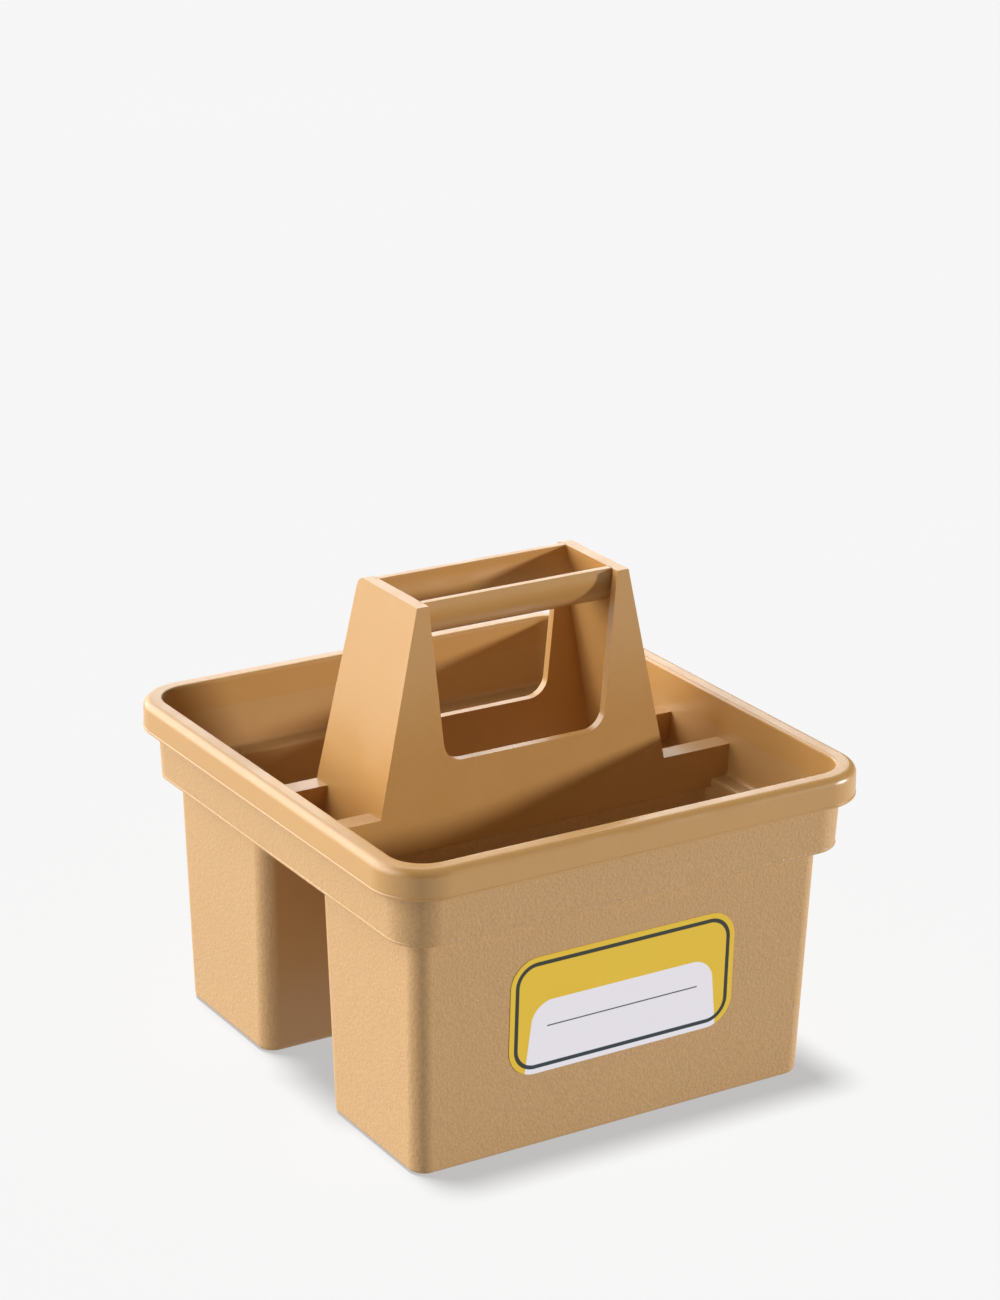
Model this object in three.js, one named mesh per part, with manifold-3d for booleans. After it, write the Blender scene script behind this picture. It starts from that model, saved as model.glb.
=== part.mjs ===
// A small open storage caddy with three compartments: a front bin, a rear bin and a trough along the
// top of its central handle. The caddy is one plastic moulding, and a paper label is stuck to its front.
// The moulding is split here into its regions, with a hairline gap between neighbours.
//
// Millimetres, +Z up. The origin is the centre of the footprint, on the surface the caddy stands on.
// +X runs to the right along the labelled face, and that face looks towards -Y.

import * as THREE from 'three';
import { mergeVertices } from 'three/addons/utils/BufferGeometryUtils.js';
import Module from 'manifold-3d';

// Overall size, over the rim and up to the top of the handle.
const LENGTH_X = 128;
const WIDTH_Y = 134;
const HEIGHT = 118.4;

const WALL = 2;
const GAP = 0.3;

// The side walls step outwards twice on the way up: body, collar, rim.
const RIM_TOP = 79.4;
const RIM_BOTTOM = 72.1;
const RIM_LAND = 5.1;
const RIM_CORNER_RADIUS = 13.25;
const COLLAR_INSET = 4.2;
const COLLAR_DRAFT = 0.5;
const COLLAR_BOTTOM = 59.4;
const BODY_INSET = 4.85;
const BODY_DRAFT = 1.75;

// The divider walls between each bin and the tunnel lean inwards, and run on up as the handle's panels.
const DIVIDER_Y_AT_FLOOR = 17.7;
const DIVIDER_Y_AT_TOP = 13.4;

// Handle: two leaning cheeks, two panels with a finger window each, and the trough that is its grip.
const CHEEK_X_AT_TOP = 28.7;
const CHEEK_SLOPE = 0.212;
const CHEEK_THICKNESS = 3.1;
const FRONT_WINDOW = { sill: 80, halfAtSill: 21.6, halfAtTop: 25.6 };
const REAR_WINDOW = { sill: 79.2, halfAtSill: 23.1, halfAtTop: 25.7 };
const WINDOW_CORNER = 5;
const PANEL_INSET = 2.6;
const PANEL_TOP = HEIGHT - PANEL_INSET;
const GRIP_HALF_WIDTH = 11;
const GRIP_HALF_HEIGHT = 9.5;
const GRIP_CENTRE_Z = 117;

// Bridges: from each cheek to the side wall, two ledges with an open well between them.
const LEDGE_TOP = 69.3;
const LEDGE_INNER_Y = 9.9;
const LEDGE_CORE_WIDTH = 1.5;

// Label.
const LABEL_WIDTH = 61;
const LABEL_HEIGHT = 29.4;
const LABEL_CORNER = 7;
const LABEL_THICKNESS = 0.2;
const LABEL_CENTRE_X = 0.6;
const LABEL_CENTRE_Z = 33.6;

const CURVE_SEGMENTS = 8;

// Places that follow from the dimensions above.
const CORNER_X = LENGTH_X / 2 - RIM_CORNER_RADIUS;
const COLLAR_X = LENGTH_X / 2 - COLLAR_INSET;
const BODY_X = COLLAR_X - BODY_INSET;
const STEP_TOP = COLLAR_BOTTOM + WALL;
const Y_MINUS_X = (WIDTH_Y - LENGTH_X) / 2;
const BEYOND = 10;

const dividerY = (z) => THREE.MathUtils.mapLinear(z, 0, HEIGHT, DIVIDER_Y_AT_FLOOR, DIVIDER_Y_AT_TOP);
const cheekX = (z) => CHEEK_X_AT_TOP + CHEEK_SLOPE * (HEIGHT - z);
const bodyX = (z) => BODY_X - BODY_DRAFT * (1 - z / COLLAR_BOTTOM);

const wasm = await Module();
wasm.setup();

function toSolid(geometry) {
  const bare = geometry.clone();
  bare.deleteAttribute('normal');
  bare.deleteAttribute('uv');
  const merged = mergeVertices(bare, 1e-4);
  return new wasm.Manifold(new wasm.Mesh({
    numProp: 3,
    vertProperties: new Float32Array(merged.attributes.position.array),
    triVerts: new Uint32Array(merged.index.array),
  }));
}

function toGeometry(solid) {
  const mesh = solid.getMesh();
  const geometry = new THREE.BufferGeometry();
  geometry.setAttribute('position', new THREE.BufferAttribute(mesh.vertProperties, 3));
  geometry.setIndex(new THREE.BufferAttribute(mesh.triVerts, 1));
  geometry.computeVertexNormals();
  return geometry;
}

function roundedRectangle(halfX, halfY, radius) {
  const shape = new THREE.Shape();
  shape.absarc(halfX - radius, halfY - radius, radius, 0, Math.PI / 2);
  shape.absarc(radius - halfX, halfY - radius, radius, Math.PI / 2, Math.PI);
  shape.absarc(radius - halfX, radius - halfY, radius, Math.PI, Math.PI * 1.5);
  shape.absarc(halfX - radius, radius - halfY, radius, Math.PI * 1.5, Math.PI * 2);
  shape.closePath();
  return shape;
}

function extrude(shape, depth) {
  return new THREE.ExtrudeGeometry(shape, { depth, bevelEnabled: false, curveSegments: CURVE_SEGMENTS });
}

// A block with round corners and drafted sides. Each section is { z, x, back, front }: half its length
// in X, and its two faces in Y.
function draftedBlock(lower, upper, radius) {
  const height = upper.z - lower.z;
  const halfY = (section) => (section.back - section.front) / 2;
  const centreY = (section) => (section.back + section.front) / 2;
  const geometry = extrude(roundedRectangle(lower.x, halfY(lower), radius), height);
  const position = geometry.attributes.position;
  for (let i = 0; i < position.count; i += 1) {
    const rise = position.getZ(i) / height;
    const scaleX = THREE.MathUtils.lerp(1, upper.x / lower.x, rise);
    const scaleY = THREE.MathUtils.lerp(1, halfY(upper) / halfY(lower), rise);
    const shiftY = THREE.MathUtils.lerp(centreY(lower), centreY(upper), rise);
    position.setX(i, position.getX(i) * scaleX);
    position.setY(i, position.getY(i) * scaleY + shiftY);
    position.setZ(i, position.getZ(i) + lower.z);
  }
  return toSolid(geometry);
}

// A section of the whole caddy at height z, whose side walls are x from the middle.
const ring = (z, x) => ({ z, x, back: x + Y_MINUS_X, front: -x - Y_MINUS_X });

function ringBlock(zLow, xLow, zHigh, xHigh) {
  return draftedBlock(ring(zLow, xLow), ring(zHigh, xHigh), xLow - CORNER_X);
}

// The outline is given as [y, z] points and runs along X.
function prismAlongX(outline, xFrom, xTo) {
  const shape = new THREE.Shape(outline.map(([y, z]) => new THREE.Vector2(y, z)));
  const geometry = extrude(shape, xTo - xFrom);
  const turn = new THREE.Matrix4().makeBasis(
    new THREE.Vector3(0, 1, 0),
    new THREE.Vector3(0, 0, 1),
    new THREE.Vector3(1, 0, 0),
  );
  return toSolid(geometry.applyMatrix4(turn).translate(xFrom, 0, 0));
}

// The shape is drawn in X and Z and runs along Y.
function prismAlongY(shape, yFrom, yTo) {
  return toSolid(extrude(shape, yTo - yFrom).rotateX(Math.PI / 2).translate(0, yTo, 0));
}

function polygon(points) {
  return new THREE.Shape(points.map(([x, z]) => new THREE.Vector2(x, z)));
}

function mirrorX(solid) {
  return solid.mirror([1, 0, 0]);
}

function mirrorY(solid) {
  return solid.mirror([0, 1, 0]);
}

// The open space inside the collar and rim, and the mouth of the body below their step.
function insideSpace(clearance) {
  const body = BODY_X - WALL - clearance;
  const collar = COLLAR_X - WALL - clearance;
  const rim = LENGTH_X / 2 - RIM_LAND - clearance;
  const mouth = ringBlock(COLLAR_BOTTOM - BEYOND, body, STEP_TOP + BEYOND, body);
  return mouth.add(ringBlock(STEP_TOP + clearance, collar, RIM_TOP + GAP, rim));
}

function frontBin() {
  const top = COLLAR_BOTTOM - GAP;
  const section = (z, wall) => ({
    z,
    x: bodyX(z) - wall,
    back: wall - dividerY(z),
    front: -bodyX(z) - Y_MINUS_X + wall,
  });
  // The divider's tunnel face is one wall inside its bin face, so the outer block reaches past it.
  const outside = (z) => ({ ...section(z, 0), back: WALL - dividerY(z) });
  const inside = (z) => ({ ...section(z, WALL), back: -dividerY(z) });
  const radius = BODY_X - CORNER_X;
  const shell = draftedBlock(outside(0), outside(top), radius);
  const space = draftedBlock(inside(WALL), inside(top + WALL), radius - WALL);
  return shell.subtract(space);
}

function collar() {
  const top = RIM_BOTTOM - GAP;
  return ringBlock(COLLAR_BOTTOM, COLLAR_X, top, COLLAR_X + COLLAR_DRAFT).subtract(insideSpace(0));
}

// The rim is an upside-down channel: its skirt hangs outside the wall, with a groove between them.
function rim() {
  const outer = LENGTH_X / 2;
  const wallOutside = COLLAR_X + COLLAR_DRAFT;
  const grooveTop = RIM_TOP - WALL;
  const block = ringBlock(RIM_BOTTOM, outer, RIM_TOP, outer);
  const grooveOuter = ringBlock(RIM_BOTTOM - BEYOND, outer - WALL, grooveTop, outer - WALL);
  const grooveInner = ringBlock(RIM_BOTTOM - 2 * BEYOND, wallOutside, grooveTop + BEYOND, wallOutside);
  return block.subtract(grooveOuter.subtract(grooveInner)).subtract(insideSpace(0));
}

function leftCheek() {
  const strip = polygon([
    [-cheekX(COLLAR_BOTTOM), COLLAR_BOTTOM],
    [CHEEK_THICKNESS - cheekX(COLLAR_BOTTOM), COLLAR_BOTTOM],
    [CHEEK_THICKNESS - cheekX(HEIGHT), HEIGHT],
    [-cheekX(HEIGHT), HEIGHT],
  ]);
  const betweenDividers = prismAlongX([
    [-dividerY(COLLAR_BOTTOM), COLLAR_BOTTOM],
    [dividerY(COLLAR_BOTTOM), COLLAR_BOTTOM],
    [dividerY(HEIGHT), HEIGHT],
    [-dividerY(HEIGHT), HEIGHT],
  ], -LENGTH_X / 2, 0);
  return prismAlongY(strip, -WIDTH_Y / 2, WIDTH_Y / 2).intersect(betweenDividers);
}

// A U that is open at the top and narrows a little towards its sill.
function windowOutline({ sill, halfAtSill, halfAtTop }) {
  const top = HEIGHT + BEYOND;
  const halfAt = (z) => THREE.MathUtils.mapLinear(z, sill, HEIGHT, halfAtSill, halfAtTop);
  const shoulder = sill + WINDOW_CORNER;
  const shape = new THREE.Shape();
  shape.moveTo(-halfAt(top), top);
  shape.lineTo(-halfAt(shoulder), shoulder);
  shape.quadraticCurveTo(-halfAtSill, sill, WINDOW_CORNER - halfAtSill, sill);
  shape.lineTo(halfAtSill - WINDOW_CORNER, sill);
  shape.quadraticCurveTo(halfAtSill, sill, halfAt(shoulder), shoulder);
  shape.lineTo(halfAt(top), top);
  shape.closePath();
  return shape;
}

// A panel on the front side, with the given window.
function handlePanel(window) {
  const halfAt = (z) => cheekX(z) - CHEEK_THICKNESS - GAP;
  const slab = prismAlongX([
    [-dividerY(COLLAR_BOTTOM), COLLAR_BOTTOM],
    [WALL - dividerY(COLLAR_BOTTOM), COLLAR_BOTTOM],
    [WALL - dividerY(PANEL_TOP), PANEL_TOP],
    [-dividerY(PANEL_TOP), PANEL_TOP],
  ], -LENGTH_X / 2, LENGTH_X / 2);
  const outline = polygon([
    [-halfAt(COLLAR_BOTTOM), COLLAR_BOTTOM],
    [halfAt(COLLAR_BOTTOM), COLLAR_BOTTOM],
    [halfAt(PANEL_TOP), PANEL_TOP],
    [-halfAt(PANEL_TOP), PANEL_TOP],
  ]);
  const face = prismAlongY(outline, -WIDTH_Y / 2, 0);
  const opening = prismAlongY(windowOutline(window), -WIDTH_Y / 2, 0);
  return slab.intersect(face).subtract(opening);
}

// The trough: a half-oval channel, open at the top, whose ends are closed by the cheeks.
function gripTray() {
  const innerWidth = GRIP_HALF_WIDTH - WALL;
  const innerHeight = GRIP_HALF_HEIGHT - WALL;
  const shape = new THREE.Shape();
  shape.moveTo(-GRIP_HALF_WIDTH, HEIGHT);
  shape.lineTo(-GRIP_HALF_WIDTH, GRIP_CENTRE_Z);
  shape.absellipse(0, GRIP_CENTRE_Z, GRIP_HALF_WIDTH, GRIP_HALF_HEIGHT, Math.PI, 2 * Math.PI);
  shape.lineTo(GRIP_HALF_WIDTH, HEIGHT);
  shape.lineTo(innerWidth, HEIGHT);
  shape.lineTo(innerWidth, GRIP_CENTRE_Z);
  shape.absellipse(0, GRIP_CENTRE_Z, innerWidth, innerHeight, 2 * Math.PI, Math.PI, true);
  shape.lineTo(-innerWidth, HEIGHT);
  shape.closePath();
  const section = shape.extractPoints(2 * CURVE_SEGMENTS).shape.map((point) => [point.x, point.y]);
  const halfAt = (z) => cheekX(z) - CHEEK_THICKNESS - GAP;
  const low = GRIP_CENTRE_Z - GRIP_HALF_HEIGHT - BEYOND;
  const high = HEIGHT + BEYOND;
  const betweenCheeks = polygon([
    [-halfAt(low), low],
    [halfAt(low), low],
    [halfAt(high), high],
    [-halfAt(high), high],
  ]);
  const channel = prismAlongX(section, -LENGTH_X / 2, LENGTH_X / 2);
  return channel.intersect(prismAlongY(betweenCheeks, -WIDTH_Y / 2, WIDTH_Y / 2));
}

function rightBridge() {
  const bottom = COLLAR_BOTTOM;
  const coreOuter = dividerY(LEDGE_TOP) - WALL;
  const coreInner = coreOuter - LEDGE_CORE_WIDTH;
  const coreTop = LEDGE_TOP - WALL;
  const half = [
    [LEDGE_INNER_Y, STEP_TOP],
    [LEDGE_INNER_Y, LEDGE_TOP],
    [dividerY(LEDGE_TOP), LEDGE_TOP],
    [dividerY(bottom), bottom],
    [coreOuter, bottom],
    [coreOuter, coreTop],
    [coreInner, coreTop],
    [coreInner, bottom],
  ];
  const otherHalf = half.map(([y, z]) => [-y, z]).reverse();
  const channel = prismAlongX([...half, ...otherHalf], 0, LENGTH_X / 2);
  const handle = polygon([
    [-BEYOND, bottom - BEYOND],
    [cheekX(bottom - BEYOND) + GAP, bottom - BEYOND],
    [cheekX(LEDGE_TOP + BEYOND) + GAP, LEDGE_TOP + BEYOND],
    [-BEYOND, LEDGE_TOP + BEYOND],
  ]);
  return channel.subtract(prismAlongY(handle, -WIDTH_Y / 2, WIDTH_Y / 2)).intersect(insideSpace(GAP));
}

function plastic() {
  return new THREE.MeshStandardMaterial({ color: 0xc89c6c, roughness: 0.55, metalness: 0 });
}

function paper() {
  return new THREE.MeshStandardMaterial({ color: 0xe6c23a, roughness: 0.45, metalness: 0 });
}

function addPiece(group, name, geometry, material) {
  const mesh = new THREE.Mesh(geometry, material);
  mesh.name = name;
  group.add(mesh);
  return mesh;
}

// The label lies on the front wall and leans with it.
function addLabel(group) {
  const shape = roundedRectangle(LABEL_WIDTH / 2, LABEL_HEIGHT / 2, LABEL_CORNER);
  const label = addPiece(group, 'label', toGeometry(toSolid(extrude(shape, LABEL_THICKNESS))), paper());
  const lean = Math.atan(BODY_DRAFT / COLLAR_BOTTOM);
  label.rotation.x = Math.PI / 2 + lean;
  label.position.set(LABEL_CENTRE_X, -bodyX(LABEL_CENTRE_Z) - Y_MINUS_X - GAP, LABEL_CENTRE_Z);
}

const caddy = new THREE.Group();
const moulded = {
  front_bin: frontBin(),
  rear_bin: mirrorY(frontBin()),
  collar: collar(),
  rim: rim(),
  handle_left_cheek: leftCheek(),
  handle_right_cheek: mirrorX(leftCheek()),
  handle_front_panel: handlePanel(FRONT_WINDOW),
  handle_rear_panel: mirrorY(handlePanel(REAR_WINDOW)),
  grip_tray: gripTray(),
  left_bridge: mirrorX(rightBridge()),
  right_bridge: rightBridge(),
};
for (const [name, solid] of Object.entries(moulded)) {
  addPiece(caddy, name, toGeometry(solid), plastic());
}
addLabel(caddy);

export default caddy;
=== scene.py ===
import math

import bmesh
import bpy
from mathutils import Matrix, Vector


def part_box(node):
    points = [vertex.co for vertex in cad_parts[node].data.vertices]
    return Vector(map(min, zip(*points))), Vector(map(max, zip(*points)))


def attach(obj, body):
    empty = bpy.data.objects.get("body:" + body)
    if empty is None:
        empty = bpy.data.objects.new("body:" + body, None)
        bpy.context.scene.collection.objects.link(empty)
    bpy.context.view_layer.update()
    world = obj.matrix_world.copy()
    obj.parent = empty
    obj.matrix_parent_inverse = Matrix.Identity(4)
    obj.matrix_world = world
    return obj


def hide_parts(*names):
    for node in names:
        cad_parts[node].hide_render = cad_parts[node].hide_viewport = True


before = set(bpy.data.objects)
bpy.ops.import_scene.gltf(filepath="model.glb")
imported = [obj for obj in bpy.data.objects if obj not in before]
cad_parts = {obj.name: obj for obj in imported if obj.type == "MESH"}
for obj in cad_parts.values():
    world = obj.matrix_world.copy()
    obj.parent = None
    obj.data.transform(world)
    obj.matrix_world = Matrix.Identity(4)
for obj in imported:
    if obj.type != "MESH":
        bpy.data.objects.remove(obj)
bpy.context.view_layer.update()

MM = 0.001

# The caddy's sizes in millimetres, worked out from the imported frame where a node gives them.
WALL = 2.0
COLLAR_DRAFT = 0.5
BODY_DRAFT = 1.75
RIM_LAND = 5.1
CORNER_RADIUS = 13.25
CHEEK_THICKNESS = 3.1
# Each window is its sill height and its half-widths at the sill and at the top of the handle.
FRONT_WINDOW = (80.0, 21.6, 25.6)
REAR_WINDOW = (79.2, 23.1, 25.7)
WINDOW_CORNER = 5.0
LEDGE_INNER_Y = 9.9
LEDGE_CORE = 1.5
GRIP_HALF_WIDTH = 11.0
GRIP_HALF_HEIGHT = 9.5
GRIP_CENTRE_Z = 117.0
HORN_ROUND = 2.2
LABEL_CORNER = 7.0
LABEL_THICKNESS = 0.12
LABEL_EDGE = 0.04
LABEL_LIFT = 0.01

# Roundings.
RIM_OUTER_ROUND = 2.1
RIM_INNER_ROUND = 0.9
CRISP_ROUND = 0.35
# The lower edges of the rim and collar stand slightly proud of the face above them.
BEAD_PROUD = 0.14
BEAD_HEIGHT = 0.55
BEAD_SLOPE = 0.22
STEP_FILLET = 1.2
STEP_EDGE_ROUND = 0.9
FOOT_ROUND = 1.4
FLOOR_ROUND = 2.5
HANDLE_ROUND = 0.55
GRIP_END_ROUND = 0.3

# How much a bin's corner radius shrinks as its foot and its inside floor round inwards.
FOOT_CORNER_SHRINK = 0.9
FLOOR_CORNER_SHRINK = 0.4
LEAST_CORNER = 0.8

# How far the bridges and the trough reach into the walls they join, and how far the bridges' level
# faces stand off the collar's, so that no two faces share a plane.
WALL_BITE = 0.3
CHEEK_BITE = 1.5
GRIP_BITE = 0.4
STAND_OFF = 0.06

# Cutters run this far past what they cut, and edges this close to a level count as lying on it.
BEYOND = 5.0
NEAR = 0.1


def node_box(name):
    low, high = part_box(name)
    return Vector(low) / MM, Vector(high) / MM


RIM_LOW, RIM_HIGH = node_box("rim")
COLLAR_LOW, COLLAR_HIGH = node_box("collar")
BIN_HIGH = node_box("front_bin")[1]
CHEEK_HIGH = node_box("handle_left_cheek")[1]
BRIDGE_HIGH = node_box("right_bridge")[1]
LABEL_LOW, LABEL_HIGH = node_box("label")

HALF_X, HALF_Y = RIM_HIGH.x, RIM_HIGH.y
Y_MINUS_X = HALF_Y - HALF_X
RIM_TOP, RIM_BOTTOM = RIM_HIGH.z, RIM_LOW.z
COLLAR_BOTTOM = COLLAR_LOW.z
STEP_TOP = COLLAR_BOTTOM + WALL
COLLAR_X = COLLAR_HIGH.x - COLLAR_DRAFT
BODY_X = BIN_HIGH.x
HANDLE_TOP = CHEEK_HIGH.z
LEDGE_TOP = BRIDGE_HIGH.z
CORNER_X = HALF_X - CORNER_RADIUS
RIM_INNER_X = HALF_X - RIM_LAND
COLLAR_INNER_X = COLLAR_X - WALL

# The divider faces lean inwards from the floor to the top of the handle.
DIVIDER_Y_AT_TOP = 13.4
DIVIDER_Y_AT_FLOOR = 17.7
CHEEK_X_AT_TOP = 28.7
CHEEK_SLOPE = 0.212

CORNER_STEPS = 14
ROUND_STEPS = 5


def mix(a, b, t):
    return a + (b - a) * t


def divider_y(z):
    return mix(DIVIDER_Y_AT_FLOOR, DIVIDER_Y_AT_TOP, z / HANDLE_TOP)


def cheek_x(z):
    return CHEEK_X_AT_TOP + CHEEK_SLOPE * (HANDLE_TOP - z)


def body_x(z):
    return BODY_X - BODY_DRAFT * (1 - z / COLLAR_BOTTOM)


# ---------------------------------------------------------------- mesh helpers

def finish_mesh(name, bm, smooth_angle=32):
    bmesh.ops.remove_doubles(bm, verts=bm.verts, dist=0.002)
    bmesh.ops.recalc_face_normals(bm, faces=bm.faces)
    bmesh.ops.scale(bm, vec=(MM, MM, MM), verts=bm.verts)
    mesh = bpy.data.meshes.new(name)
    bm.to_mesh(mesh)
    bm.free()
    mesh.shade_smooth()
    mesh.set_sharp_from_angle(angle=math.radians(smooth_angle))
    piece = bpy.data.objects.new(name, mesh)
    bpy.context.scene.collection.objects.link(piece)
    weighted = piece.modifiers.new("even_shading", "WEIGHTED_NORMAL")
    weighted.keep_sharp = True
    return piece


def arc(centre, radius, start, end, steps=ROUND_STEPS):
    """Points of an arc in a profile plane, angles in degrees."""
    turns = [math.radians(mix(start, end, i / steps)) for i in range(steps + 1)]
    return [(centre[0] + radius * math.cos(a), centre[1] + radius * math.sin(a)) for a in turns]


def round_rectangle(x_low, x_high, y_low, y_high, radius, z):
    points = []
    corners = (
        (x_high - radius, y_high - radius, 0),
        (x_low + radius, y_high - radius, 90),
        (x_low + radius, y_low + radius, 180),
        (x_high - radius, y_low + radius, 270),
    )
    for x, y, start in corners:
        points += [(px, py, z) for px, py in arc((x, y), radius, start, start + 90, CORNER_STEPS)]
    return points


def skin(bm, loops, closed):
    """Joins loops of equal length with quads; a closed skin runs from the last loop to the first."""
    rows = [[bm.verts.new(p) for p in loop] for loop in loops]
    count = len(rows)
    for i in range(count if closed else count - 1):
        near, far = rows[i], rows[(i + 1) % count]
        for j in range(len(near)):
            k = (j + 1) % len(near)
            bm.faces.new((near[j], near[k], far[k], far[j]))
    return rows


def sweep_round_wall(name, profile):
    """A closed profile of (x, z) points carried round the caddy's rounded rectangle."""
    bm = bmesh.new()
    loops = []
    for x, z in profile:
        loops.append(round_rectangle(-x, x, -x - Y_MINUS_X, x + Y_MINUS_X, x - CORNER_X, z))
    skin(bm, loops, closed=True)
    return finish_mesh(name, bm)


def prism(bm, outline, along, low, high):
    """Extrudes an outline along X (points are y, z) or along Y (points are x, z)."""
    def place(u, v, w):
        return (w, u, v) if along == "X" else (u, w, v)
    near = [bm.verts.new(place(u, v, low)) for u, v in outline]
    far = [bm.verts.new(place(u, v, high)) for u, v in outline]
    bm.faces.new(near)
    bm.faces.new(list(reversed(far)))
    for i in range(len(near)):
        j = (i + 1) % len(near)
        bm.faces.new((near[i], far[i], far[j], near[j]))


def solid_object(name, bm):
    bmesh.ops.recalc_face_normals(bm, faces=bm.faces)
    mesh = bpy.data.meshes.new(name)
    bm.to_mesh(mesh)
    bm.free()
    piece = bpy.data.objects.new(name, mesh)
    bpy.context.scene.collection.objects.link(piece)
    return piece


def combine(base, tool, operation):
    """Applies one exact boolean to base and removes the tool."""
    cut = base.modifiers.new("cut", "BOOLEAN")
    cut.operation = operation
    cut.solver = "EXACT"
    cut.object = tool
    graph = bpy.context.evaluated_depsgraph_get()
    result = bpy.data.meshes.new_from_object(base.evaluated_get(graph))
    base.modifiers.clear()
    old = base.data
    base.data = result
    bpy.data.meshes.remove(old)
    bpy.data.objects.remove(tool)


def to_bmesh(piece):
    bm = bmesh.new()
    bm.from_mesh(piece.data)
    bpy.data.objects.remove(piece)
    bmesh.ops.remove_doubles(bm, verts=bm.verts, dist=0.002)
    bmesh.ops.dissolve_limit(bm, angle_limit=math.radians(1), verts=bm.verts, edges=bm.edges)
    return bm


def round_edges(bm, width, chosen, segments=3):
    """Rounds the chosen convex edges."""
    edges = [
        e for e in bm.edges
        if e.is_manifold and e.is_convex and e.calc_face_angle() > math.radians(25) and chosen(e)
    ]
    bmesh.ops.bevel(
        bm, geom=edges, offset=width, offset_type="OFFSET", segments=segments,
        profile=0.5, affect="EDGES", clamp_overlap=True,
    )


# ---------------------------------------------------------------- pieces

def make_bin(name, side):
    """One bin, open at the top: side is -1 for the front and 1 for the rear."""
    def section(z, wall, radius, inset=0.0):
        far = body_x(z) + Y_MINUS_X - wall - inset
        near = divider_y(z) + (0 if wall else -WALL) + inset
        x = body_x(z) - wall - inset
        y_low, y_high = sorted((side * near, side * far))
        return round_rectangle(-x, x, y_low, y_high, radius, z)

    outer_radius = BODY_X - CORNER_X
    inner_radius = outer_radius - WALL
    loops = []
    for inset, z in arc((FOOT_ROUND, FOOT_ROUND), FOOT_ROUND, 270, 180):
        loops.append(section(z, 0, outer_radius - inset * FOOT_CORNER_SHRINK, inset))
    loops.append(section(COLLAR_BOTTOM, 0, outer_radius))
    loops.append(section(COLLAR_BOTTOM, WALL, inner_radius))
    for inset, z in arc((FLOOR_ROUND, WALL + FLOOR_ROUND), FLOOR_ROUND, 180, 270):
        radius = max(inner_radius - inset * FLOOR_CORNER_SHRINK, LEAST_CORNER)
        loops.append(section(z, WALL, radius, inset))
    bm = bmesh.new()
    rows = skin(bm, loops, closed=False)
    bm.faces.new(rows[0])
    bm.faces.new(rows[-1])
    return finish_mesh(name, bm)


def lower_edge(x, z):
    """The rounded lower edge of an outer face, with its bead and the face's first point above it."""
    corner = arc((x - CRISP_ROUND, z + CRISP_ROUND), CRISP_ROUND, 270, 360)
    return corner + [(x, z + BEAD_HEIGHT), (x - BEAD_PROUD, z + BEAD_HEIGHT + BEAD_SLOPE)]


def make_collar():
    top = RIM_BOTTOM
    outer_top = COLLAR_X + COLLAR_DRAFT
    inner_at = mix(COLLAR_INNER_X, RIM_INNER_X, (top - STEP_TOP) / (RIM_TOP - STEP_TOP))
    mouth = BODY_X - WALL
    profile = [(mouth, COLLAR_BOTTOM)]
    profile += lower_edge(COLLAR_X, COLLAR_BOTTOM)
    profile += [(outer_top, top), (inner_at, top)]
    profile += arc((COLLAR_INNER_X - STEP_FILLET, STEP_TOP + STEP_FILLET), STEP_FILLET, 360, 270)
    profile += arc((mouth + STEP_EDGE_ROUND, STEP_TOP - STEP_EDGE_ROUND), STEP_EDGE_ROUND, 90, 180)
    return sweep_round_wall("collar_band", profile)


def make_rim():
    wall_outside = COLLAR_X + COLLAR_DRAFT
    skirt_inside = HALF_X - WALL
    groove_top = RIM_TOP - WALL
    inner_low = mix(COLLAR_INNER_X, RIM_INNER_X, (RIM_BOTTOM - STEP_TOP) / (RIM_TOP - STEP_TOP))
    outer, inner, crisp = RIM_OUTER_ROUND, RIM_INNER_ROUND, CRISP_ROUND
    face = HALF_X - BEAD_PROUD
    profile = lower_edge(HALF_X, RIM_BOTTOM)
    profile += arc((face - outer, RIM_TOP - outer), outer, 0, 90, 8)
    profile += arc((RIM_INNER_X + inner, RIM_TOP - inner), inner, 90, 180, 8)
    profile += [(inner_low, RIM_BOTTOM), (wall_outside, RIM_BOTTOM)]
    profile += [(wall_outside, groove_top), (skirt_inside, groove_top)]
    profile += arc((skirt_inside + crisp, RIM_BOTTOM + crisp), crisp, 180, 270)
    return sweep_round_wall("rim_lip", profile)


def window_outline(window, top):
    sill, half_at_sill, half_at_top = window

    def half_at(z):
        return mix(half_at_sill, half_at_top, (z - sill) / (HANDLE_TOP - sill))
    radius = WINDOW_CORNER
    centre = (half_at(sill + radius) - radius, sill + radius)
    right = arc(centre, radius, 270, 360, 8) + [(half_at(top), top)]
    return right + [(-x, z) for x, z in reversed(right)]


def frustum(bm, x_at, y_at, low, high):
    corners = ((-1, -1), (1, -1), (1, 1), (-1, 1))
    rows = [[bm.verts.new((sx * x_at(z), sy * y_at(z), z)) for sx, sy in corners] for z in (low, high)]
    bm.faces.new(rows[0])
    bm.faces.new(list(reversed(rows[1])))
    for i in range(4):
        j = (i + 1) % 4
        bm.faces.new((rows[0][i], rows[0][j], rows[1][j], rows[1][i]))


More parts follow.
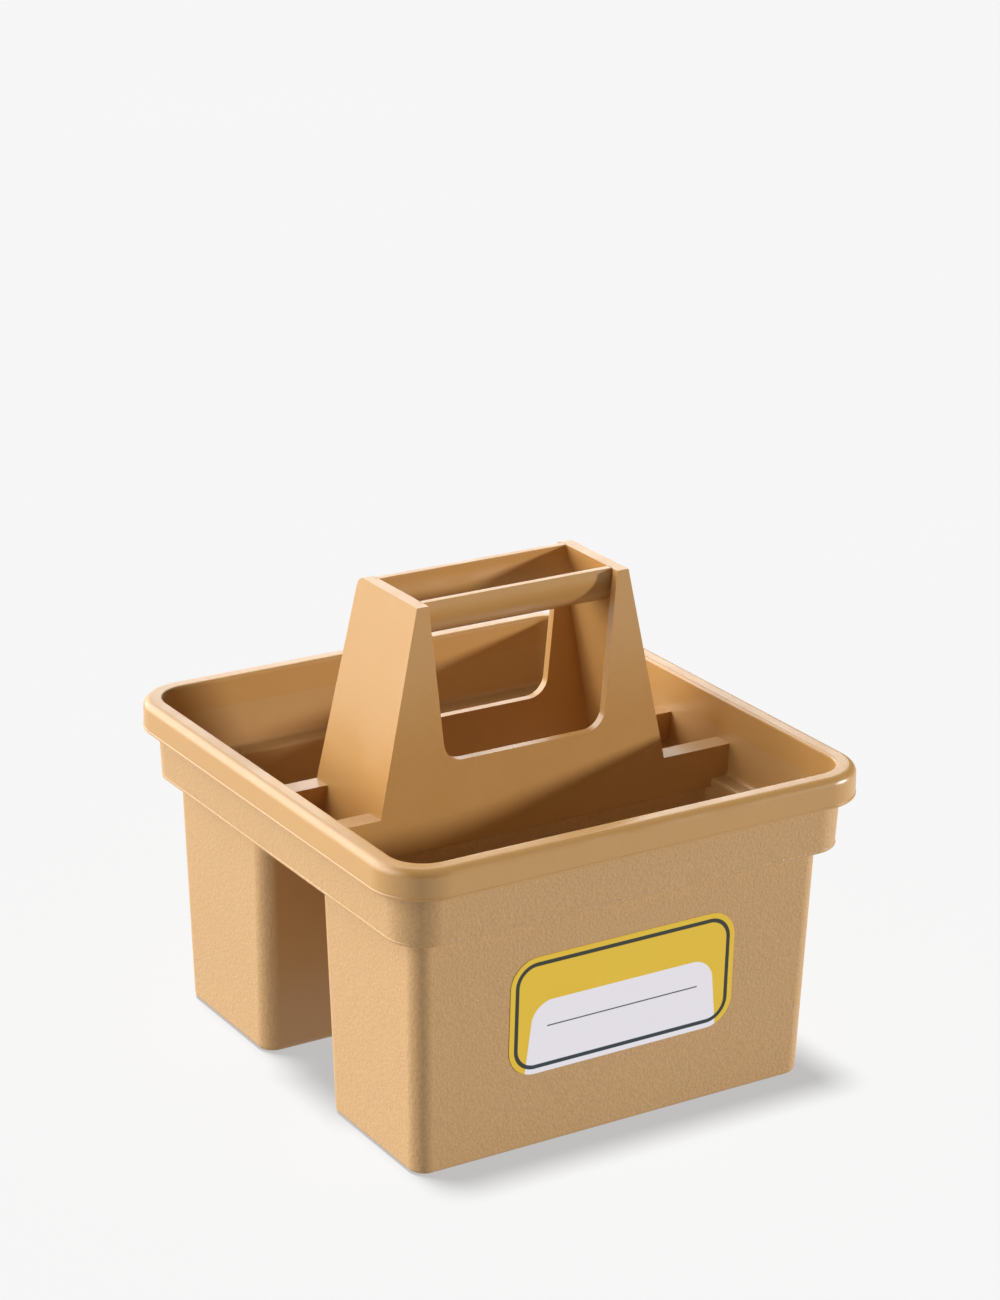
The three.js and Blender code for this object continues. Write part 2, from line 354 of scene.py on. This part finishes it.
def bridge_solid(side):
    """A side bridge: two ledges, cored from below, with an open well between them."""
    low, high = COLLAR_BOTTOM + STAND_OFF, LEDGE_TOP
    well_floor = STEP_TOP + STAND_OFF
    core_outer = divider_y(high) - WALL
    core_inner = core_outer - LEDGE_CORE
    core_top = high - WALL
    half = [
        (LEDGE_INNER_Y, well_floor), (LEDGE_INNER_Y, high), (divider_y(high), high),
        (divider_y(low), low), (core_outer, low), (core_outer, core_top),
        (core_inner, core_top), (core_inner, low),
    ]
    outline = half + [(-y, z) for y, z in reversed(half)]
    bm = bmesh.new()
    prism(bm, outline, "X", 0, 1)
    for vert in bm.verts:
        z = vert.co.z
        wall = mix(COLLAR_INNER_X, RIM_INNER_X, (z - STEP_TOP) / (RIM_TOP - STEP_TOP)) + WALL_BITE
        vert.co.x = side * (wall if vert.co.x > 0.5 else cheek_x(z) - CHEEK_BITE)
    return solid_object("bridge", bm)


def make_handle():
    """The tower and both bridges, whose bin faces are one plane."""
    low, high = COLLAR_BOTTOM + STAND_OFF, HANDLE_TOP
    shell = bmesh.new()
    frustum(shell, cheek_x, divider_y, low, high)
    handle = solid_object("tower", shell)
    for side in (-1, 1):
        combine(handle, bridge_solid(side), "UNION")
    hollow = bmesh.new()
    frustum(
        hollow, lambda z: cheek_x(z) - CHEEK_THICKNESS, lambda z: divider_y(z) - WALL,
        low - BEYOND, high + BEYOND,
    )
    combine(handle, solid_object("hollow", hollow), "DIFFERENCE")
    for window, y_low, y_high in ((FRONT_WINDOW, -HALF_Y, 0), (REAR_WINDOW, 0, HALF_Y)):
        cutter = bmesh.new()
        prism(cutter, window_outline(window, high + BEYOND), "Y", y_low, y_high)
        combine(handle, solid_object("window", cutter), "DIFFERENCE")
    # The rear top corners of the cheeks are rounded off in side view.
    back = divider_y(high)
    y, z = back - HORN_ROUND, high - HORN_ROUND
    corner = arc((y, z), HORN_ROUND, 0, 90, 8)
    corner += [(y, high + BEYOND), (back + BEYOND, high + BEYOND), (back + BEYOND, z)]
    cutter = bmesh.new()
    prism(cutter, corner, "X", -HALF_X, HALF_X)
    combine(handle, solid_object("corner", cutter), "DIFFERENCE")
    bm = to_bmesh(handle)

    def exposed(edge):
        points = [v.co for v in edge.verts]
        underneath = all(p.z < low + NEAR for p in points)
        inside_wall = all(abs(p.x) > COLLAR_INNER_X for p in points)
        return not underneath and not inside_wall
    # The width comes out as almost nothing on this mesh, so the handle's edges stay sharp.
    round_edges(bm, HANDLE_ROUND, exposed, segments=4)
    return finish_mesh("handle_tower", bm)


def oval(half_width, half_height, start, end, steps):
    turns = [math.radians(mix(start, end, i / steps)) for i in range(steps + 1)]
    return [(half_width * math.cos(a), GRIP_CENTRE_Z + half_height * math.sin(a)) for a in turns]


def make_grip():
    outer, inner = GRIP_HALF_WIDTH, GRIP_HALF_WIDTH - WALL
    end_round = GRIP_END_ROUND
    top = HANDLE_TOP - end_round
    profile = oval(outer, GRIP_HALF_HEIGHT, 180, 360, 28)
    profile += arc((outer - end_round, top), end_round, 0, 90, 4)
    profile += arc((inner + end_round, top), end_round, 90, 180, 4)
    profile += oval(inner, GRIP_HALF_HEIGHT - WALL, 360, 180, 28)
    profile += arc((-inner - end_round, top), end_round, 0, 90, 4)
    profile += arc((end_round - outer, top), end_round, 90, 180, 4)
    bm = bmesh.new()
    ends = []
    for side in (-1, 1):
        row = []
        for y, z in profile:
            x = cheek_x(z) - CHEEK_THICKNESS + GRIP_BITE
            row.append(bm.verts.new((side * x, y, z)))
        ends.append(row)
    for i in range(len(profile)):
        j = (i + 1) % len(profile)
        bm.faces.new((ends[0][i], ends[0][j], ends[1][j], ends[1][i]))
    bm.faces.new(ends[0])
    bm.faces.new(ends[1])
    return finish_mesh("grip_trough", bm)


def label_place():
    """The middle of the label on the front wall, and the matrix that lays it there."""
    centre_x = (LABEL_LOW.x + LABEL_HIGH.x) / 2
    centre_z = (LABEL_LOW.z + LABEL_HIGH.z) / 2
    lean = math.atan(BODY_DRAFT / COLLAR_BOTTOM)
    wall_y = -body_x(centre_z) - Y_MINUS_X
    place = Matrix.Translation((centre_x, wall_y, centre_z))
    return place @ Matrix.Rotation(math.pi / 2 + lean, 4, "X"), lean


def make_label():
    place, lean = label_place()
    half_x = (LABEL_HIGH.x - LABEL_LOW.x) / 2
    half_up = (LABEL_HIGH.z - LABEL_LOW.z) / 2 / math.cos(lean)
    bm = bmesh.new()
    loops = []
    for inset, z in ((0, LABEL_LIFT), (0, LABEL_THICKNESS - LABEL_EDGE), (LABEL_EDGE, LABEL_THICKNESS)):
        x, y = half_x - inset, half_up - inset
        loops.append(round_rectangle(-x, x, -y, y, LABEL_CORNER - inset, z))
    rows = skin(bm, loops, closed=False)
    bm.faces.new(rows[0])
    bm.faces.new(rows[-1])
    # The printed layout is drawn from each point's place on the label, kept as a UV map in millimetres.
    uv = bm.loops.layers.uv.new("print")
    for face in bm.faces:
        for loop in face.loops:
            loop[uv].uv = (loop.vert.co.x, loop.vert.co.y)
    bmesh.ops.transform(bm, matrix=place, verts=bm.verts)
    return finish_mesh("label_sheet", bm)


# ---------------------------------------------------------------- materials

class Nodes:
    """Short calls for building a node material."""

    def __init__(self, name):
        self.material = bpy.data.materials.new(name)
        self.material.use_nodes = True
        self.tree = self.material.node_tree
        self.shader = self.tree.nodes["Principled BSDF"]

    def add(self, kind, **values):
        node = self.tree.nodes.new(kind)
        for key, value in values.items():
            setattr(node, key, value)
        return node

    def link(self, out, into):
        self.tree.links.new(out, into)

    def math(self, operation, a, b=None):
        node = self.add("ShaderNodeMath", operation=operation)
        for socket, value in zip(node.inputs, (a, b)):
            if value is None:
                continue
            if isinstance(value, (int, float)):
                socket.default_value = value
            else:
                self.link(value, socket)
        return node.outputs[0]

    def noise(self, scale, detail=2.0, roughness=0.5):
        node = self.add("ShaderNodeTexNoise")
        node.inputs["Scale"].default_value = scale
        node.inputs["Detail"].default_value = detail
        node.inputs["Roughness"].default_value = roughness
        self.link(self.add("ShaderNodeTexCoord").outputs["Object"], node.inputs["Vector"])
        return node.outputs["Fac"]

    def mix_colour(self, factor, a, b):
        node = self.add("ShaderNodeMix", data_type="RGBA")
        for name, value in (("Factor", factor), ("A", a), ("B", b)):
            socket = node.inputs[name]
            if isinstance(value, (tuple, float, int)):
                socket.default_value = value
            else:
                self.link(value, socket)
        return node.outputs["Result"]

    def span(self, value, low, high, out_low, out_high):
        node = self.add("ShaderNodeMapRange")
        sockets = ("From Min", "From Max", "To Min", "To Max")
        for name, number in zip(sockets, (low, high, out_low, out_high)):
            node.inputs[name].default_value = number
        self.link(value, node.inputs["Value"])
        return node.outputs["Result"]


def srgb(code):
    def linear(c):
        return c / 12.92 if c <= 0.04045 else ((c + 0.055) / 1.055) ** 2.4
    return (*(linear(int(code[i:i + 2], 16) / 255) for i in (0, 2, 4)), 1.0)


# The grain is a coarse noise and a share of a fine one, which stray by the reach from the middle.
COARSE_GRAIN = 1300
FINE_GRAIN = 3600
FINE_SHARE = 0.4
GRAIN_MIDDLE = 0.7
GRAIN_REACH = 0.25
# Roughness of an ungrained face, from its glossiest patches to its dullest.
SMOOTH_ROUGH = (0.28, 0.38)
# The mottling's darker colour as a share of the lighter one.
DARKER = 0.95


def facing_out(n):
    """1 on faces that look away from the caddy's middle at half the rim's height, and 0 on the rest.

    The rest are most insides of walls, and the sides of the bins that face the tunnel.
    """
    place = n.add("ShaderNodeTexCoord")
    from_middle = n.add("ShaderNodeVectorMath", operation="SUBTRACT")
    from_middle.inputs[1].default_value = (0, 0, RIM_TOP / 2 * MM)
    n.link(place.outputs["Object"], from_middle.inputs[0])
    outward = n.add("ShaderNodeVectorMath", operation="DOT_PRODUCT")
    n.link(place.outputs["Normal"], outward.inputs[0])
    n.link(from_middle.outputs["Vector"], outward.inputs[1])
    return n.math("GREATER_THAN", outward.outputs["Value"], 0)


def plastic(name, base, grain_depth, rough_low, speckle, specular):
    """Tan polypropylene: fine grain on faces that look outwards, slight mottling, uneven satin gloss.

    rough_low is the roughness of the glossiest patches of a face that looks outwards.
    """
    n = Nodes(name)
    light = srgb(base)
    dark = tuple(c * DARKER for c in light[:3]) + (1.0,)
    coarse = n.noise(COARSE_GRAIN, roughness=0.6)
    both = n.math("ADD", coarse, n.math("MULTIPLY", n.noise(FINE_GRAIN), FINE_SHARE))
    outside = facing_out(n)
    grain = n.math("MULTIPLY", n.math("SUBTRACT", both, GRAIN_MIDDLE), outside)
    pits = n.span(grain, -GRAIN_REACH, GRAIN_REACH, 1 - speckle, 1 + speckle)
    mottled = n.mix_colour(n.noise(35, detail=3), dark, light)
    shade = n.add("ShaderNodeVectorMath", operation="SCALE")
    n.link(mottled, shade.inputs[0])
    n.link(pits, shade.inputs["Scale"])
    n.link(shade.outputs[0], n.shader.inputs["Base Color"])
    grain_roughness = n.math("MULTIPLY", outside, rough_low - SMOOTH_ROUGH[0])
    satin = n.span(n.noise(120, detail=3), 0.3, 0.7, *SMOOTH_ROUGH)
    n.link(n.math("ADD", satin, grain_roughness), n.shader.inputs["Roughness"])
    bump = n.add("ShaderNodeBump")
    bump.inputs["Strength"].default_value = 0.6
    bump.inputs["Distance"].default_value = grain_depth * MM
    n.link(grain, bump.inputs["Height"])
    n.link(bump.outputs["Normal"], n.shader.inputs["Normal"])
    n.shader.inputs["Subsurface Weight"].default_value = 0.08
    n.shader.inputs["Subsurface Radius"].default_value = (1.0, 0.55, 0.25)
    n.shader.inputs["Subsurface Scale"].default_value = 0.0015
    n.shader.inputs["IOR"].default_value = 1.49
    n.shader.inputs["Specular IOR Level"].default_value = specular
    return n.material


# The label's printed layout, in millimetres from its middle.
BORDER_INSET = 1.3
BORDER_WIDTH = 1.0
PANEL_HALF = 24.2
PANEL_TOP = 3.3
PANEL_DEPTH = 40.0
PANEL_RADIUS = 5.0
PANEL_FLARE = 0.11
LINE_Y = -3.2
LINE_HALF = 20.5
LINE_HALF_WIDTH = 0.16


def label_print():
    """A generic label: a yellow ground, a dark border, a pale writing panel and one ruled line."""
    n = Nodes("label_print")
    _, lean = label_place()
    half_x = (LABEL_HIGH.x - LABEL_LOW.x) / 2
    half_y = (LABEL_HIGH.z - LABEL_LOW.z) / 2 / math.cos(lean)
    split = n.add("ShaderNodeSeparateXYZ")
    n.link(n.add("ShaderNodeUVMap", uv_map="print").outputs["UV"], split.inputs[0])
    y = split.outputs["Y"]
    from_middle = n.math("ABSOLUTE", split.outputs["X"])

    def off_level(level):
        return n.math("ABSOLUTE", n.math("SUBTRACT", y, level))

    def distance(across, half_width, half_height, radius, middle_y=0.0):
        """Distance in mm outside a round-cornered rectangle."""
        dx = n.math("SUBTRACT", across, half_width - radius)
        dy = n.math("SUBTRACT", off_level(middle_y), half_height - radius)
        out_x, out_y = n.math("MAXIMUM", dx, 0), n.math("MAXIMUM", dy, 0)
        squares = n.math("ADD", n.math("MULTIPLY", out_x, out_x), n.math("MULTIPLY", out_y, out_y))
        far = n.math("SQRT", squares)
        near = n.math("MINIMUM", n.math("MAXIMUM", dx, dy), 0)
        return n.math("SUBTRACT", n.math("ADD", far, near), radius)

    def inside(value, softness=0.06):
        return n.span(value, -softness, softness, 1, 0)

    outer_edge = distance(
        from_middle, half_x - BORDER_INSET, half_y - BORDER_INSET, LABEL_CORNER - BORDER_INSET)
    border = n.math("SUBTRACT", inside(outer_edge), inside(n.math("ADD", outer_edge, BORDER_WIDTH)))

    # The panel's sides flare out below its top edge, and it runs on past the label's lower edge.
    flare = n.math("MULTIPLY", n.math("SUBTRACT", PANEL_TOP, y), PANEL_FLARE)
    panel_edge = distance(
        n.math("SUBTRACT", from_middle, flare), PANEL_HALF, PANEL_DEPTH / 2, PANEL_RADIUS,
        PANEL_TOP - PANEL_DEPTH / 2)
    panel = inside(panel_edge)

    above = n.math("SUBTRACT", off_level(LINE_Y), LINE_HALF_WIDTH)
    beyond = n.math("SUBTRACT", from_middle, LINE_HALF)
    line = inside(n.math("MAXIMUM", above, beyond), 0.05)

    ground = n.mix_colour(n.noise(60), srgb("E6BC26"), srgb("EBC63A"))
    colour = n.mix_colour(panel, ground, srgb("F2EEF5"))
    colour = n.mix_colour(line, colour, srgb("30363A"))
    ink = n.mix_colour(panel, srgb("1A2412"), srgb("142A34"))
    colour = n.mix_colour(border, colour, ink)
    n.link(colour, n.shader.inputs["Base Color"])
    n.link(n.span(n.noise(300), 0.3, 0.7, 0.34, 0.44), n.shader.inputs["Roughness"])
    return n.material


# ---------------------------------------------------------------- the caddy

GRAINED = plastic("grained_plastic", "C19761", 0.25, 0.45, 0.09, 0.72)
SMOOTH = plastic("smooth_plastic", "C29457", 0.03, 0.28, 0.02, 0.66)

PIECES = (
    (make_bin("front_bin_shell", -1), GRAINED, "grained_plastic", ("front_bin",)),
    (make_bin("rear_bin_shell", 1), GRAINED, "grained_plastic", ("rear_bin",)),
    (make_collar(), GRAINED, "grained_plastic", ("collar",)),
    (make_rim(), SMOOTH, "smooth_plastic", ("rim",)),
    (make_handle(), SMOOTH, "smooth_plastic",
     ("handle_left_cheek", "handle_right_cheek", "handle_front_panel", "handle_rear_panel",
      "left_bridge", "right_bridge")),
    (make_grip(), SMOOTH, "smooth_plastic", ("grip_tray",)),
    (make_label(), label_print(), "label_face", ("label",)),
)
for piece, material, slot, nodes in PIECES:
    piece.data.materials.append(material)
    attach(piece, "root")
    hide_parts(*nodes)


# ---------------------------------------------------------------- camera, floor and light

# Angles in degrees, distances in metres, and the lens and sensor in millimetres.
CAMERA_AZIMUTH = 31.85
CAMERA_ELEVATION = 19.88
CAMERA_ROLL = 0.71
CAMERA_DISTANCE = 0.848
LENS = 98.17
AIM = Vector((0, 0, 0.055))
AIM_RIGHT, AIM_UP = 0.00158, 0.04148
SENSOR_WIDTH = 36
FLOOR_HALF = 6

FLOOR_GLOW = 0.50
# The pieces that shade the floor. The rim's overhang would make the shadow too wide.
FLOOR_SHADOW_MAKERS = ("front_bin_shell", "rear_bin_shell", "handle_tower")

# Brightness all round the caddy: below the horizon, in the band above it, and overhead. Heights on
# the world's ramp run from 0 straight down to 1 straight up, so the horizon is at a half.
WORLD = (0.60, 0.03, 0.14)
BELOW_HORIZON, HORIZON = 0.47, 0.50
BAND_TOP, DOME_START = 0.70, 0.78

# Suns as name, azimuth, elevation, strength and spread, with angles in degrees.
OBJECT_SUNS = (
    ("key_right", 59, 10, 3.15, 5),
    ("soft_left", -105, 22, 2.2, 55),
    ("soft_left_behind", -145, 20, 3.0, 70),
    ("soft_behind", 178, 25, 2.2, 80),
    ("gloss_behind", 148, 20, 0.13, 18),
)
FLOOR_SUN = ("floor_light", -150, 80, 13.0, 12)


def make_camera():
    a, e, r = (math.radians(v) for v in (CAMERA_AZIMUTH, CAMERA_ELEVATION, CAMERA_ROLL))
    back = Vector((-math.sin(a) * math.cos(e), -math.cos(a) * math.cos(e), math.sin(e)))
    level = (-back).cross(Vector((0, 0, 1))).normalized()
    above = level.cross(-back)
    right = level * math.cos(r) + above * math.sin(r)
    up = above * math.cos(r) - level * math.sin(r)
    data = bpy.data.cameras.new("camera")
    data.lens = LENS
    data.sensor_width = SENSOR_WIDTH
    camera = bpy.data.objects.new("camera", data)
    bpy.context.scene.collection.objects.link(camera)
    turn = Matrix((right, up, back)).transposed().to_4x4()
    place = AIM + back * CAMERA_DISTANCE + level * AIM_RIGHT + above * AIM_UP
    camera.matrix_world = Matrix.Translation(place) @ turn
    bpy.context.scene.camera = camera


def make_floor():
    bm = bmesh.new()
    bmesh.ops.create_grid(bm, x_segments=1, y_segments=1, size=FLOOR_HALF)
    mesh = bpy.data.meshes.new("floor")
    bm.to_mesh(mesh)
    bm.free()
    floor = bpy.data.objects.new("floor", mesh)
    bpy.context.scene.collection.objects.link(floor)
    n = Nodes("floor_paper")
    n.link(n.mix_colour(n.noise(3), srgb("595959"), srgb("5A5A5A")), n.shader.inputs["Base Color"])
    n.shader.inputs["Roughness"].default_value = 0.9
    n.shader.inputs["Specular IOR Level"].default_value = 0.0
    n.shader.inputs["Emission Color"].default_value = (1, 1, 1, 1)
    n.shader.inputs["Emission Strength"].default_value = FLOOR_GLOW
    mesh.materials.append(n.material)
    # The floor shows and reflects, but does not light the caddy from below: the world does that.
    floor.visible_diffuse = False
    return floor


def linked(name, members, state):
    """A light-linking group that includes its members, or leaves them out."""
    group = bpy.data.collections.new(name)
    for member in members:
        group.objects.link(member)
    for entry in group.collection_objects:
        entry.light_linking.link_state = state
    return group


def make_sun(name, azimuth, elevation, strength, spread, lit, blockers=None):
    """A distant soft light on one group. Azimuth is measured from the front towards +X, in degrees."""
    a, e = math.radians(azimuth), math.radians(elevation)
    towards = Vector((math.sin(a) * math.cos(e), -math.cos(a) * math.cos(e), math.sin(e)))
    data = bpy.data.lights.new(name, "SUN")
    data.energy = strength
    data.angle = math.radians(spread)
    light = bpy.data.objects.new(name, data)
    light.rotation_euler = towards.to_track_quat("Z", "Y").to_euler()
    light.light_linking.receiver_collection = lit
    light.light_linking.blocker_collection = blockers
    bpy.context.scene.collection.objects.link(light)


def make_world(below, band, dome):
    """A plain studio: one brightness below the horizon, one just above it and one overhead."""
    world = bpy.data.worlds.new("studio")
    world.use_nodes = True
    tree = world.node_tree
    place = tree.nodes.new("ShaderNodeTexCoord")
    split = tree.nodes.new("ShaderNodeSeparateXYZ")
    ramp = tree.nodes.new("ShaderNodeValToRGB")
    height = tree.nodes.new("ShaderNodeMath")
    height.operation = "MULTIPLY_ADD"
    height.inputs[1].default_value = 1 - HORIZON
    height.inputs[2].default_value = HORIZON
    tree.links.new(place.outputs["Generated"], split.inputs[0])
    tree.links.new(split.outputs["Z"], height.inputs[0])
    tree.links.new(height.outputs[0], ramp.inputs["Fac"])
    stops = ((BELOW_HORIZON, below), (HORIZON, band), (BAND_TOP, band), (DOME_START, dome))
    elements = ramp.color_ramp.elements
    while len(elements) < len(stops):
        elements.new(HORIZON)
    for element, (position, strength) in zip(elements, stops):
        element.position = position
        element.color = (strength, strength, strength, 1)
    tree.links.new(ramp.outputs["Color"], tree.nodes["Background"].inputs["Color"])
    bpy.context.scene.world = world


make_camera()
floor = make_floor()
make_world(*WORLD)
off_floor = linked("all_but_floor", [floor], "EXCLUDE")
for sun in OBJECT_SUNS:
    make_sun(*sun, off_floor)
on_floor = linked("floor_only", [floor], "INCLUDE")
shadow_makers = [bpy.data.objects[name] for name in FLOOR_SHADOW_MAKERS]
make_sun(*FLOOR_SUN, on_floor, linked("casts_on_floor", shadow_makers, "INCLUDE"))
bpy.context.scene.view_settings.view_transform = "Standard"
